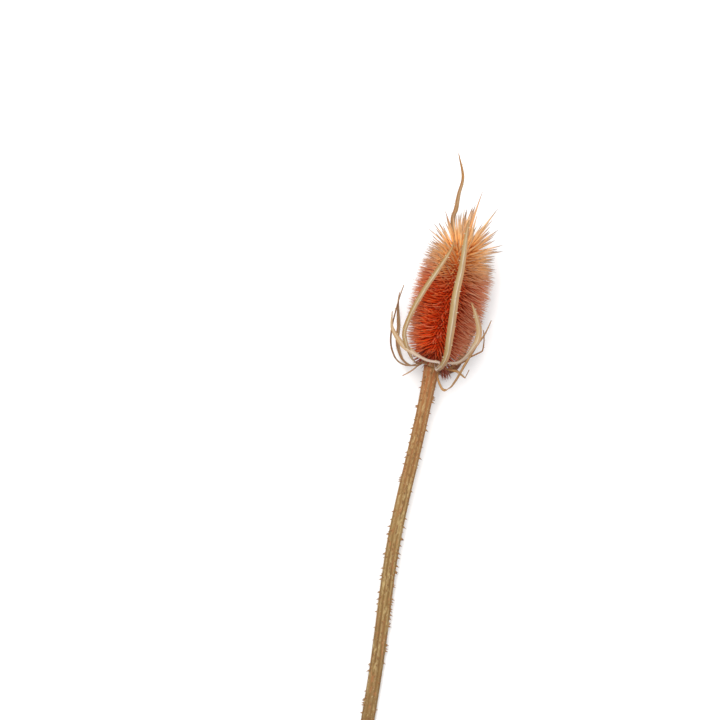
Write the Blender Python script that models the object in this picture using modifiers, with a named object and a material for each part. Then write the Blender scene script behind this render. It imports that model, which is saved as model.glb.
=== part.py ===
"""A dyed teasel seed head on its cut stem, lying on a table.

Metres, +Z up. The stem's cut end points to -Y and the seed head to +Y. The plant rests on two low bracts
and on the cut end of its stem, all at Z = 0, and the origin is the middle of its footprint.
"""

import random
from math import cos, exp, pi, radians, sin, sqrt

import bmesh
import bpy
from mathutils import Matrix, Vector
from mathutils.kdtree import KDTree

SEED = 7
GAP = 0.0003  # between two nodes that meet
GOLDEN_ANGLE = pi * (3 - sqrt(5))
FOOTPRINT_CENTRE = (-0.0002, 0.1503)  # measured from the middle of the cut end

# Stem: a ribbed rod that lies flat at its cut end and curves up to the head
STEM_LENGTH = 0.193
STEM_RADIUS = 0.0034
STEM_FLARE = 0.0007
STEM_FLARE_LENGTH = 0.022
STEM_RIBS = 8
RIB_HEIGHT = 0.00045
STEM_RINGS = 24
STEM_RISE = 0.0135
BOW = 0.0032  # how far the stem bends to -X, where along it, and over what length
BOW_PLACE = 0.102
BOW_LENGTH = 0.050
HEAD_TILT = radians(9)
HEAD_TURN = radians(4.1)  # of the head's axis from +Y towards +X

# Prickles, on the ribs of the stem and on the edges of the bracts
STEM_PRICKLES = 120
PRICKLE_LENGTH = 0.0015
PRICKLE_RADIUS = 0.00042
BRACT_PRICKLE_LENGTH = 0.0010
BRACT_PRICKLE_PITCH = 0.0085

# Collar, which carries the long bracts, and the core of the head, turned about the head's axis
COLLAR_HEIGHT = 0.0032
COLLAR_RADII = (0.0040, 0.0058)
CORE_RADIUS = 0.0108
CORE_WIDEST = 0.034
CORE_HALF_LENGTHS = (0.036, 0.028)  # below and above its widest place
CORE_POWER = 2.4
CORE_RINGS = 9
CORE_SIDES = 14
CORE_BASE = GAP + COLLAR_HEIGHT + GAP

# Bristles of the head, in a spiral of golden angles
BRISTLES = 700
BRISTLE_RADIUS = 0.00055
BARE_BASE = 0.0009  # the core has none so close to the collar
BRISTLE_SINK = 0.0018
BRISTLE_LENGTH = (0.0084, 0.0097)  # at the base of the head and from its middle up
CROWN_START = 0.84  # as a share of the core's length
CROWN_POWER = 1.8
CROWN_EXTRA = 0.0210
BRISTLE_LEAN = radians(104)  # from the head's axis, from its base up to where the crown begins
LEAN_POWERS = (8, 0.8)  # how late and how fast the lean goes back to 0 at the tip
BRISTLE_CURL = radians(13)
BRACT_CLEARANCE = 0.0010  # from a bract's edge to the midline of a bristle
SHORTENED = (1.0, 0.85, 0.7)  # what a bristle under a bract is cut back to, or it is left out

# Long bracts. Each has its share of the full width, its twist at the root in degrees, and stations on its
# midline: angle round the head's axis in degrees (0 to +X, 90 away from the table), distance from that
# axis and distance along it from the stem's end.
BRACT_WIDTH = 0.0033
BRACT_TIP_WIDTH = 0.0006
BRACT_THICKNESS = 0.36  # as a share of the width
BRACT_LEAST_THICKNESS = 0.0007
BRACT_ROOT_SHARE = 0.5  # of its full width, at its root
BRACT_WIDEST = 0.4  # as a share of its length
BRACT_FLAT = 0.65  # where its twist ends
BRACT_STEP = 0.0046
BRACT_LIFT = 0.0006  # least height of a bract's midline over the table
BRACTS = {
    "front": (1.2, 0, [
        (76, 0.0045, 0.0018), (79, 0.0105, 0.0012), (79, 0.0165, 0.0026), (78, 0.0212, 0.0066),
        (78, 0.0234, 0.0120), (82, 0.0242, 0.0265), (86, 0.0241, 0.0420), (87, 0.0238, 0.0550),
        (91, 0.0235, 0.0700), (93, 0.0233, 0.0780),
    ]),
    "front_left": (1.0, 0, [
        (136, 0.0045, 0.0018), (132, 0.0105, 0.0012), (128, 0.0165, 0.0028), (127, 0.0210, 0.0064),
        (131, 0.0236, 0.0106), (136, 0.0245, 0.0155), (135, 0.0245, 0.0223), (130, 0.0241, 0.0319),
        (122, 0.0240, 0.0416), (114, 0.0238, 0.0503), (105, 0.0235, 0.0615), (104, 0.0233, 0.0665),
    ]),
    "left": (0.95, 86, [
        (84, 0.0045, 0.0018), (82, 0.0110, 0.0010), (81, 0.0162, 0.0030), (83, 0.0190, 0.0054),
        (101, 0.0205, 0.0053), (117, 0.0215, 0.0065), (135, 0.0230, 0.0089), (149, 0.0242, 0.0120),
        (159, 0.0261, 0.0160), (163, 0.0275, 0.0235),
    ]),
    "right": (1.05, 55, [
        (68, 0.0045, 0.0018), (70, 0.0110, 0.0014), (72, 0.0165, 0.0040), (70, 0.0198, 0.0066),
        (60, 0.0212, 0.0079), (53, 0.0223, 0.0106), (44, 0.0233, 0.0174), (41, 0.0239, 0.0213),
        (44, 0.0239, 0.0270), (55, 0.0237, 0.0340), (64, 0.0234, 0.0389),
    ]),
    "hooked": (0.60, 0, [
        (42, 0.0045, 0.0012), (56, 0.0070, -0.0036), (45, 0.0112, -0.0086), (41, 0.0145, -0.0066),
        (42.5, 0.0178, -0.0001), (45, 0.0211, 0.0073), (38, 0.0229, 0.0174), (30, 0.0240, 0.0240),
        (24, 0.0246, 0.0313),
    ]),
    "stub": (0.45, 0, [
        (24, 0.0045, 0.0015), (20, 0.0085, 0.0010), (16, 0.0130, 0.0014), (14, 0.0174, -0.0005),
        (14, 0.0178, -0.0008), (12, 0.0187, 0.0036),
    ]),
    "short": (0.40, 0, [
        (150, 0.0045, 0.0016), (151, 0.0068, 0.0008), (150, 0.0110, -0.0035), (148, 0.0158, -0.0070),
    ]),
    "outer_right": (0.60, 0, [
        (0, 0.0045, 0.0018), (-4, 0.0100, 0.0025), (-7, 0.0145, 0.0055), (-8.5, 0.0174, 0.0089),
        (-9, 0.0222, 0.0128), (-9, 0.0228, 0.0135), (-10, 0.0224, 0.0186), (-14, 0.0212, 0.0235),
    ]),
    "low_right": (0.85, 0, [
        (-50, 0.0045, 0.0018), (-51, 0.0115, -0.0025), (-52, 0.0185, -0.0012), (-52, 0.0222, 0.0040),
        (-52, 0.0234, 0.0090), (-50, 0.0236, 0.0150), (-45, 0.0238, 0.0210), (-38, 0.0240, 0.0265),
    ]),
    "tall": (0.95, 0, [
        (-68, 0.0045, 0.0018), (-63, 0.0105, -0.0028), (-58, 0.0165, -0.0015), (-54, 0.0212, 0.0035),
        (-54, 0.0232, 0.0100), (-56, 0.0240, 0.0200), (-60, 0.0240, 0.0320), (-68, 0.0240, 0.0430),
        (-86, 0.0232, 0.0545), (-103, 0.0224, 0.0640), (-112, 0.0210, 0.0729), (-113, 0.0195, 0.0780),
        (-117, 0.0180, 0.0860), (-120, 0.0168, 0.0950), (-136, 0.0188, 0.1060),
    ]),
    "low_left": (0.85, 0, [
        (222, 0.0045, 0.0018), (221, 0.0115, -0.0030), (222, 0.0190, -0.0025), (223, 0.0245, 0.0020),
        (223, 0.0272, 0.0070), (222, 0.0280, 0.0130), (216, 0.0278, 0.0190), (208, 0.0272, 0.0250),
        (201, 0.0268, 0.0310),
    ]),
    "back_left": (0.80, 0, [
        (180, 0.0045, 0.0018), (181, 0.0110, -0.0022), (182, 0.0175, -0.0015), (183, 0.0220, 0.0040),
        (181, 0.0240, 0.0110), (178, 0.0246, 0.0190), (174, 0.0246, 0.0290), (170, 0.0243, 0.0370),
    ]),
}

CORAL = (0.46, 0.10, 0.045, 1)
STRAW = (0.50, 0.31, 0.15, 1)
STALK = (0.43, 0.26, 0.12, 1)


def material(name, colour, roughness):
    """A plain finish for one node."""
    made = bpy.data.materials.new(name)
    made.use_nodes = True
    shader = made.node_tree.nodes["Principled BSDF"]
    shader.inputs["Base Color"].default_value = colour
    shader.inputs["Roughness"].default_value = roughness
    shader.inputs["Metallic"].default_value = 0
    return made


def stem_centre(y):
    """A point on the stem's midline, y from its cut end."""
    x = -BOW * exp(-(((y - BOW_PLACE) / BOW_LENGTH) ** 2))
    return Vector((x, y, STEM_RADIUS + STEM_RISE * (y / STEM_LENGTH) ** 2))


def head_matrix():
    """From the head's own frame, with +Z along its axis and +Y to the table, to the stem's frame."""
    tilted = Matrix.Rotation(-(pi / 2 - HEAD_TILT), 4, "X")
    turned = Matrix.Rotation(-HEAD_TURN, 4, "Z")
    return Matrix.Translation(stem_centre(STEM_LENGTH)) @ turned @ tilted


HEAD = head_matrix()
TO_HEAD = HEAD.inverted()


def loft(mesh, rings):
    """Skins one closed body over its rings. A last ring of one point is a sharp tip."""
    loops = [[mesh.verts.new(point) for point in ring] for ring in rings]
    for low, high in zip(loops, loops[1:]):
        for i in range(len(low)):
            j = (i + 1) % len(low)
            far = (high[0],) if len(high) == 1 else (high[j], high[i])
            mesh.faces.new((low[i], low[j], *far))
    mesh.faces.new(reversed(loops[0]))
    if len(loops[-1]) > 1:
        mesh.faces.new(loops[-1])


def object_from(name, mesh, collection):
    """Turns a bmesh into an object of that collection."""
    data = bpy.data.meshes.new(name)
    mesh.to_mesh(data)
    mesh.free()
    made = bpy.data.objects.new(name, data)
    collection.objects.link(made)
    return made


def spike_rings(root, points, radius, across):
    """Three-sided rings that taper from the root, over the points, to the last one."""
    path = [root, *points]
    rings = []
    for i, here in enumerate(path[:-1]):
        along = (path[i + 1] - here).normalized()
        side = along.cross(across).normalized()
        up = side.cross(along)
        r = radius * (1 - i / len(points)) ** 0.5
        turns = [2 * pi * k / 3 for k in range(3)]
        rings.append([here + r * (cos(a) * up + sin(a) * side) for a in turns])
    return [*rings, [path[-1]]]


def spike(name, collection, *rings_of):
    """One spike as its own object, ready to be fused."""
    mesh = bmesh.new()
    loft(mesh, spike_rings(*rings_of))
    bmesh.ops.recalc_face_normals(mesh, faces=mesh.faces)
    return object_from(name, mesh, collection)


def baked(obj):
    """Replaces the object's mesh by what its modifiers make of it."""
    graph = bpy.context.evaluated_depsgraph_get()
    made = bpy.data.meshes.new_from_object(obj.evaluated_get(graph))
    obj.modifiers.clear()
    obj.data = made


def fuse(body, repeats):
    """Joins everything in the collection of repeats to the body, as one solid."""
    union = body.modifiers.new("fused repeats", "BOOLEAN")
    union.operation = "UNION"
    union.operand_type = "COLLECTION"
    union.solver = "MANIFOLD"
    union.collection = repeats
    baked(body)
    for obj in list(repeats.objects):
        bpy.data.objects.remove(obj)
    bpy.data.collections.remove(repeats)


def repeats_for(name):
    """A collection that holds the repeats of one node until they are fused."""
    made = bpy.data.collections.new(name)
    bpy.context.scene.collection.children.link(made)
    return made


def stem_radius(y, angle):
    """Radius of the stem on its ribs and between them, with the flare under the head."""
    flare = max(0.0, 1 - (STEM_LENGTH - y) / STEM_FLARE_LENGTH)
    return STEM_RADIUS + STEM_FLARE * flare**2 - RIB_HEIGHT * sin(STEM_RIBS * angle / 2) ** 2


def stem_frame(y):
    """Midline point and the two directions across the stem there."""
    step = 1e-4
    along = (stem_centre(y + step) - stem_centre(y - step)).normalized()
    if y >= STEM_LENGTH:
        along = HEAD.to_3x3().col[2].copy()
    if y <= 0:
        along = Vector((0, 1, 0))
    side = along.cross(Vector((0, 0, 1))).normalized()
    return stem_centre(y), side, side.cross(along)


def on_stem(y, angle, out=0.0):
    """A point on the stem's surface, or that far outside it."""
    centre, side, up = stem_frame(y)
    return centre + (stem_radius(y, angle) + out) * (cos(angle) * side + sin(angle) * up)


def make_stem(parts):
    """The ribbed stalk with its prickles, which point back towards the cut end."""
    mesh = bmesh.new()
    corners = [pi * k / STEM_RIBS for k in range(2 * STEM_RIBS)]
    stations = [STEM_LENGTH * k / (STEM_RINGS - 1) for k in range(STEM_RINGS)]
    loft(mesh, [[on_stem(y, a) for a in corners] for y in stations])
    bmesh.ops.recalc_face_normals(mesh, faces=mesh.faces)
    stem = object_from("stem", mesh, parts)
    prickles = repeats_for("prickles of the stem")
    draw = random.Random(SEED)
    for i in range(STEM_PRICKLES):
        y = STEM_LENGTH * (1 - 0.96 * ((i + draw.random()) / STEM_PRICKLES) ** 1.25) - 0.004
        angle = 2 * pi * draw.randrange(STEM_RIBS) / STEM_RIBS
        length = PRICKLE_LENGTH * draw.uniform(0.7, 1.15)
        root = on_stem(y, angle, -2 * RIB_HEIGHT)
        tip = on_stem(y - 0.35 * length, angle, length)
        if tip.z < PRICKLE_RADIUS:
            continue  # the table presses this one off
        across = Vector((0, 1, 0))
        spike(f"prickle {i}", prickles, root, [tip], PRICKLE_RADIUS, across)
    fuse(stem, prickles)
    return stem


def spline(stations, step):
    """Points about a step apart on a Catmull-Rom curve through the stations."""
    ends = [2 * stations[0] - stations[1], *stations, 2 * stations[-1] - stations[-2]]
    points = []
    for a, b, c, d in zip(ends, ends[1:], ends[2:], ends[3:]):
        count = max(1, round((c - b).length / step))
        for k in range(count):
            t = k / count
            point = 2 * b + (c - a) * t + (2 * a - 5 * b + 4 * c - d) * t**2
            points.append((point + (3 * b - a - 3 * c + d) * t**3) / 2)
    return [*points, stations[-1]]


def lifted(point, height=0.0):
    """A point of the head's frame, lifted to that height over the table where it is lower."""
    world = HEAD @ point
    world.z = max(world.z, height)
    return TO_HEAD @ world


def bract_midline(stations):
    """The bract's midline in the head's frame."""
    placed = [
        Vector((r * cos(radians(angle)), -r * sin(radians(angle)), along)) for angle, r, along in stations
    ]
    return spline(placed, BRACT_STEP)


def bract_sections(midline, full_width, twist):
    """For each point of the midline: the point, the ways across the blade and out of it, and its width."""
    lengths = [0.0]
    for a, b in zip(midline, midline[1:]):
        lengths.append(lengths[-1] + (b - a).length)
    sections = []
    across = Vector((-midline[0].y, midline[0].x, 0)).normalized()
    for i, here in enumerate(midline):
        along = (midline[min(i + 1, len(midline) - 1)] - midline[max(i - 1, 0)]).normalized()
        aside = along.cross(Vector((here.x, here.y, 0)).normalized())
        across = across * 0.35 + (aside if aside.dot(across) > 0 else -aside)
        across = (across - along * across.dot(along)).normalized()
        share = lengths[i] / lengths[-1]
        width = BRACT_TIP_WIDTH + (full_width - BRACT_TIP_WIDTH) * (1 - share**2.2) ** 0.8
        width *= BRACT_ROOT_SHARE + (1 - BRACT_ROOT_SHARE) * min(1.0, share / BRACT_WIDEST)
        turn = Matrix.Rotation(radians(twist) * (1 - min(1.0, share / BRACT_FLAT) ** 3), 3, along)
        twisted = turn @ across
        sections.append((lifted(here, BRACT_LIFT), twisted, twisted.cross(along), width))
    return sections


def make_involucre(parts):
    """The collar under the head with its long bracts, each a keeled blade with prickles on its edges."""
    bpy.ops.mesh.primitive_cone_add(
        vertices=16,
        radius1=COLLAR_RADII[0],
        radius2=COLLAR_RADII[1],
        depth=COLLAR_HEIGHT,
        location=(0, 0, GAP + COLLAR_HEIGHT / 2),
    )
    collar = bpy.context.object
    collar.data.transform(collar.matrix_basis)
    collar.matrix_basis = Matrix.Identity(4)
    collar.name = collar.data.name = "involucre"
    for home in collar.users_collection:
        home.objects.unlink(collar)
    parts.objects.link(collar)
    blades = repeats_for("bracts")
    draw = random.Random(SEED + 1)
    for name, (width_share, twist, stations) in BRACTS.items():
        sections = bract_sections(bract_midline(stations), BRACT_WIDTH * width_share, twist)
        mesh = bmesh.new()
        rings = []
        for centre, across, out, width in sections:
            half = max(width * BRACT_THICKNESS, BRACT_LEAST_THICKNESS) / 2
            corners = (across * width / 2, out * half, -across * width / 2, -out * half)
            rings.append([lifted(centre + corner) for corner in corners])
        loft(mesh, rings)
        bmesh.ops.recalc_face_normals(mesh, faces=mesh.faces)
        object_from(f"bract {name}", mesh, blades)
        every = max(1, round(BRACT_PRICKLE_PITCH / BRACT_STEP))
        for i in range(4, len(sections) - 3, every):
            centre, across, out, width = sections[i]
            edge = across * draw.choice((-1, 1))
            root = centre + edge * width * 0.3
            tip = centre + edge * (width / 2 + BRACT_PRICKLE_LENGTH) + out * BRACT_PRICKLE_LENGTH * 0.3
            if min((HEAD @ root).z, (HEAD @ tip).z) > 2 * PRICKLE_RADIUS:
                spike(f"bract prickle {name} {i}", blades, root, [tip], PRICKLE_RADIUS, out)
    fuse(collar, blades)
    collar.matrix_world = HEAD
    return collar


def core_radius(along):
    """Radius of the core, along from its base."""
    above = along > CORE_WIDEST
    share = abs(along - CORE_WIDEST) / CORE_HALF_LENGTHS[above]
    return CORE_RADIUS * sqrt(max(0.0, 1 - share**CORE_POWER))


CORE_LENGTH = CORE_WIDEST + CORE_HALF_LENGTHS[1]


def core_points(count):
    """Points down the core's outline from its tip to its rim, closer together where it curves."""
    return [CORE_LENGTH * (1 + cos(pi * k / (count - 1))) / 2 for k in range(count)]


def spiral(count):
    """Places for that many bristles, even over the core's skin: distance along it and angle round it."""
    steps = 400
    area = [0.0]
    for k in range(steps):
        low, high = CORE_LENGTH * k / steps, CORE_LENGTH * (k + 1) / steps
        slant = sqrt((high - low) ** 2 + (core_radius(high) - core_radius(low)) ** 2)
        area.append(area[-1] + slant * (core_radius(low) + core_radius(high)))
    k = 0
    for i in range(count):
        wanted = area[-1] * (i + 0.5) / count
        while area[k + 1] < wanted:
            k += 1
        share = (wanted - area[k]) / (area[k + 1] - area[k])
        yield CORE_LENGTH * (k + share) / steps, i * GOLDEN_ANGLE


def bristle_length(share, draw):
    """A bristle's length, from its place on the core. Those of the crown are the longest."""
    crown = max(0.0, (share - CROWN_START) / (1 - CROWN_START)) ** CROWN_POWER
    body = BRISTLE_LENGTH[0] + (BRISTLE_LENGTH[1] - BRISTLE_LENGTH[0]) * min(1.0, 2.5 * share)
    extra = CROWN_EXTRA * crown * (0.4 + 0.6 * draw.random() ** 1.5)
    return (body + extra) * draw.uniform(0.93, 1.04)


def bristle_path(along, angle, length):
    """Root, middle and tip of one bristle, in the head's frame. The table bends those under the head."""
    share = along / CORE_LENGTH
    lean = BRISTLE_LEAN * (1 - share ** LEAN_POWERS[0]) ** LEAN_POWERS[1]
    outward = Vector((cos(angle), sin(angle), 0))
    curl = BRISTLE_CURL * (1 - share)
    first, last = (
        outward * sin(lean + bend) + Vector((0, 0, cos(lean + bend))) for bend in (curl / 2, -curl)
    )
    skin = outward * core_radius(along) + Vector((0, 0, CORE_BASE + along))
    middle = skin + first * length / 2
    return skin - first * BRISTLE_SINK, middle, lifted(middle + last * length / 2)


def bract_tree():
    """Points close together on the bracts' midlines, and how far the bristles keep from each."""
    places = []
    for width_share, twist, stations in BRACTS.values():
        sections = bract_sections(bract_midline(stations), BRACT_WIDTH * width_share, twist)
        for low, high in zip(sections, sections[1:]):
            reach = max(low[3], high[3]) / 2 + BRACT_CLEARANCE
            places.extend((low[0].lerp(high[0], k / 5), reach) for k in range(6))
    tree = KDTree(len(places))
    for i, (point, _) in enumerate(places):
        tree.insert(point, i)
    tree.balance()
    return tree, [reach for _, reach in places]


def is_clear(path, tree, reaches):
    """Whether the outer part of the bristle stays clear of every bract."""
    root, middle, tip = path
    inner = [root.lerp(middle, share) for share in (0.25, 0.4, 0.6, 0.8)]
    outer = [middle.lerp(tip, share / 12) for share in range(13)]
    found = [tree.find(point) for point in (*inner, *outer)]
    return all(distance > reaches[i] for _, i, distance in found)


def make_seed_head(parts):
    """The core of the head and its bristles, fused."""
    profile = bmesh.new()
    outline = [(core_radius(along), CORE_BASE + along) for along in core_points(CORE_RINGS)]
    points = [*outline, (0.0, CORE_BASE)]
    corners = [profile.verts.new((r, 0, z)) for r, z in points]
    for a, b in zip(corners, corners[1:]):
        profile.edges.new((a, b))
    head = object_from("seed_head", profile, parts)
    turned = head.modifiers.new("turned core", "SCREW")
    turned.steps = turned.render_steps = CORE_SIDES
    turned.use_merge_vertices = True
    turned.merge_threshold = 0.00001
    baked(head)
    bristles = repeats_for("bristles")
    draw = random.Random(SEED + 2)
    tree, reaches = bract_tree()
    for i, (along, angle) in enumerate(spiral(BRISTLES)):
        length = bristle_length(along / CORE_LENGTH, draw)
        paths = [bristle_path(along, angle, length * share) for share in SHORTENED]
        clear = [path for path in paths if is_clear(path, tree, reaches)]
        if along < BARE_BASE or not clear:
            continue
        root, middle, tip = clear[0]
        across = Vector((-sin(angle), cos(angle), 0))
        spike(f"bristle {i}", bristles, root, [middle, tip], BRISTLE_RADIUS, across)
    fuse(head, bristles)
    head.matrix_world = HEAD
    return head


def main():
    for obj in list(bpy.data.objects):
        bpy.data.objects.remove(obj)
    parts = bpy.data.collections.new("teasel seed head")
    bpy.context.scene.collection.children.link(parts)
    made = (
        (make_stem(parts), material("stalk", STALK, 0.7)),
        (make_involucre(parts), material("straw bracts", STRAW, 0.65)),
        (make_seed_head(parts), material("coral bristles", CORAL, 0.6)),
    )
    to_origin = Matrix.Translation((-FOOTPRINT_CENTRE[0], -FOOTPRINT_CENTRE[1], 0))
    for obj, finish in made:
        obj.data.materials.clear()
        obj.data.materials.append(finish)
        obj.matrix_world = to_origin @ obj.matrix_world


main()
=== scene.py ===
import random
from math import atan2, cos, exp, pi, radians, sin, sqrt, tau

import bmesh
import bpy
from mathutils import Matrix, Vector, noise
from mathutils.kdtree import KDTree


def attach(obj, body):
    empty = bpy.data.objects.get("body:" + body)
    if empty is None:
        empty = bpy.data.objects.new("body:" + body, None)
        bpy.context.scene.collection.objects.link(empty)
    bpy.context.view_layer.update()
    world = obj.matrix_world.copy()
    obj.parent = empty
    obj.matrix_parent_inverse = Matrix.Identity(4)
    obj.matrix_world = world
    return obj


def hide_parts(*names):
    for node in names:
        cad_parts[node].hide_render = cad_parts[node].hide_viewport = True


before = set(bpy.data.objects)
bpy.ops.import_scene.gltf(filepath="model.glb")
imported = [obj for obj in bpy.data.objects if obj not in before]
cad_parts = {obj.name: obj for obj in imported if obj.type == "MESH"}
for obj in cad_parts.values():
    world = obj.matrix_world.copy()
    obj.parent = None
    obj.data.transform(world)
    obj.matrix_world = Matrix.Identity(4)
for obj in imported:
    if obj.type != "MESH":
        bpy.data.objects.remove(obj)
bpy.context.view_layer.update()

# Camera, straight above the plant as it lies, turned so that the stem leans as it does in the photo.
# The lens is long, so the bristles round the head's edge show from the side. Lengths are in metres.
CAMERA_HEIGHT = 1.3
SEEN_WIDTH = 0.36
SEEN_LEVEL = 0.022
SEEN_CENTRE = (-0.0361, 0.0395)
STEM_LEAN = radians(10.2)
SENSOR_MM = 36

camera = bpy.data.objects.new("camera", bpy.data.cameras.new("camera"))
camera.data.sensor_width = SENSOR_MM
camera.data.lens = SENSOR_MM * CAMERA_HEIGHT / SEEN_WIDTH
camera.location = (*SEEN_CENTRE, SEEN_LEVEL + CAMERA_HEIGHT)
camera.rotation_euler = (0, 0, STEM_LEAN)
bpy.context.scene.collection.objects.link(camera)
bpy.context.scene.camera = camera
bpy.context.scene.view_settings.view_transform = "Standard"

# Table and light: a plain pale table under a wide soft lamp and an even white sky, so that the plant
# has only a faint shadow round it, as in a product photo.
TABLE_SIZE = 3.0
TABLE_COLOUR = (0.95, 0.95, 0.95, 1)
TABLE_ROUGHNESS = 0.9
LAMP_SIZE = 0.9
LAMP_PLACE = (-0.25, 0.45, 1.5)
LAMP_POWER = 20.0
SKY_STRENGTH = 0.78

table = bmesh.new()
bmesh.ops.create_grid(table, x_segments=1, y_segments=1, size=TABLE_SIZE / 2)
table_mesh = bpy.data.meshes.new("table")
table.to_mesh(table_mesh)
table.free()
table_object = bpy.data.objects.new("table", table_mesh)
bpy.context.scene.collection.objects.link(table_object)
table_finish = bpy.data.materials.new("pale table")
table_finish.use_nodes = True
table_shader = table_finish.node_tree.nodes["Principled BSDF"]
table_shader.inputs["Base Color"].default_value = TABLE_COLOUR
table_shader.inputs["Roughness"].default_value = TABLE_ROUGHNESS
table_mesh.materials.append(table_finish)

lamp = bpy.data.objects.new("soft lamp", bpy.data.lights.new("soft lamp", "AREA"))
lamp.data.size = LAMP_SIZE
lamp.data.energy = LAMP_POWER
lamp.location = LAMP_PLACE
lamp.rotation_euler = (-Vector(LAMP_PLACE)).to_track_quat("-Z", "Y").to_euler()
bpy.context.scene.collection.objects.link(lamp)
sky = bpy.data.worlds.new("even sky")
sky.use_nodes = True
sky.node_tree.nodes["Background"].inputs["Color"].default_value = (1, 1, 1, 1)
sky.node_tree.nodes["Background"].inputs["Strength"].default_value = SKY_STRENGTH
bpy.context.scene.world = sky

# Stem: one dried stalk, grown straight with a slight sway, with eight ribs along it and fine fibres between
# them. It lies flat at its cut end and curves up to the head, which rests higher. It widens under the head.
STEM_LENGTH = 0.193
STEM_RADIUS = 0.0034
STEM_FLARE = 0.0007
STEM_FLARE_LENGTH = 0.022
STEM_RIBS = 8
RIB_HEIGHT = 0.00045
STEM_RISE = 0.0135
BOW = 0.0032
BOW_PLACE = 0.102
BOW_LENGTH = 0.050
CUT_END = Vector((0.0002, -0.1503, 0))
STEM_SIDES = 96
STEM_RINGS = 190
FIBRES = 44
FIBRE_HEIGHT = 0.00006
FIBRE_WANDER = 0.00010  # how far the fibres stray from their rows
WALL_THICKNESS = 0.0011
PITH_STEP = 0.0001
PITH_WALL = 0.0010
PITH_DEPTH = 0.0012
STALK_RELIEF = 0.00022
STALK_COLOURS = ((0.17, 0.088, 0.026, 1), (0.27, 0.158, 0.052, 1), (0.38, 0.255, 0.112, 1))
PITH_COLOURS = ((0.34, 0.22, 0.10, 1), (0.62, 0.49, 0.30, 1))
DYED_STALK = (0.36, 0.125, 0.040, 1)
RUSTY_PATCH = (0.40, 0.155, 0.060, 1)
PALE_PATCH = (0.52, 0.385, 0.175, 1)
DARK_SPECK = (0.16, 0.075, 0.030, 1)
PALE_SPECK = (0.66, 0.52, 0.33, 1)


class Wire:
    """A socket of a material's nodes, with arithmetic that adds the nodes it needs."""

    def __init__(self, tree, socket=None):
        self.tree, self.socket = tree, socket

    def node(self, kind, inputs=None, output=0, stops=None, **settings):
        """Adds a node, sets it, joins or sets its inputs and gives one of its outputs."""
        made = self.tree.nodes.new(kind)
        for name, value in settings.items():
            setattr(made, name, value)
        if stops:
            ramp = made.color_ramp.elements
            while len(ramp) < len(stops):
                ramp.new(1.0)
            for element, (place, colour) in zip(ramp, stops):
                element.position = place
                element.color = colour
        for name, value in (inputs or {}).items():
            if isinstance(value, Wire):
                self.tree.links.new(value.socket, made.inputs[name])
            else:
                made.inputs[name].default_value = value
        return Wire(self.tree, made.outputs[output])

    def math(self, operation, first, second=0.0, clamp=False):
        inputs = {0: first, 1: second}
        return self.node("ShaderNodeMath", inputs, operation=operation, use_clamp=clamp)

    def __add__(self, other):
        return self.math("ADD", self, other)

    def __sub__(self, other):
        return self.math("SUBTRACT", self, other)

    def __rsub__(self, other):
        return self.math("SUBTRACT", other, self)

    def __mul__(self, other):
        return self.math("MULTIPLY", self, other)

    __radd__ = __add__

    def clamped(self):
        return self.math("ADD", self, 0.0, clamp=True)

    def between(self, low, high):
        """0 where this is at low, 1 at high, smooth in between."""
        inputs = {"Value": self, "From Min": low, "From Max": high}
        return self.node("ShaderNodeMapRange", inputs, interpolation_type="SMOOTHSTEP")

    def ramp(self, *stops):
        return self.node("ShaderNodeValToRGB", {"Fac": self}, stops=stops)

    def mixed(self, first, second):
        """The first colour where this is 0, the second where it is 1."""
        inputs = {"Factor": self, 6: first, 7: second}
        return self.node("ShaderNodeMix", inputs, output=2, data_type="RGBA")

    def noise(self, scale, detail=2.0, roughness=0.5):
        """Noise over this vector, from 0 to 1."""
        inputs = {"Vector": self, "Scale": scale, "Detail": detail, "Roughness": roughness}
        return self.node("ShaderNodeTexNoise", inputs)

    def stretched(self, x, y, z):
        return self.node("ShaderNodeMapping", {"Vector": self, "Scale": (x, y, z)})

    def attribute(self, name, output="Fac"):
        return self.node("ShaderNodeAttribute", output=output, attribute_name=name)


def finish(name, roughness, specular=0.3):
    """A new material: itself, its shader and a wire to begin from."""
    made = bpy.data.materials.new(name)
    made.use_nodes = True
    shader = made.node_tree.nodes["Principled BSDF"]
    shader.inputs["Roughness"].default_value = roughness
    shader.inputs["Specular IOR Level"].default_value = specular
    return made, shader, Wire(made.node_tree)


def join(shader, name, wire):
    wire.tree.links.new(wire.socket, shader.inputs[name])


def add_bump(shader, wire, height, depth):
    """Relief of that depth in metres."""
    bump = wire.node("ShaderNodeBump", {"Height": height, "Distance": depth, "Strength": 1.0})
    join(shader, "Normal", bump)


def unit_rod(sides, rings):
    """A closed rod of radius 1 round +Z from 0 to 1."""
    rod = bmesh.new()
    middle = Matrix.Translation((0, 0, 0.5))
    bmesh.ops.create_cone(
        rod, cap_ends=True, segments=sides, radius1=1, radius2=1, depth=1, matrix=middle
    )
    upright = [edge for edge in rod.edges if abs(edge.verts[0].co.z - edge.verts[1].co.z) > 0.5]
    bmesh.ops.subdivide_edges(rod, edges=upright, cuts=rings - 1)
    return rod


def unit_spike(sides, rings):
    """The same with its far end drawn to a point, as a mesh to copy."""
    spike = unit_rod(sides, rings)
    far_end = [vert for vert in spike.verts if vert.co.z > 0.999]
    bmesh.ops.pointmerge(spike, verts=far_end, merge_co=(0, 0, 1))
    mesh = bpy.data.meshes.new("spike to copy")
    spike.to_mesh(mesh)
    spike.free()
    return mesh


def number_layer(shape, name):
    return shape.verts.layers.float.get(name) or shape.verts.layers.float.new(name)


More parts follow.
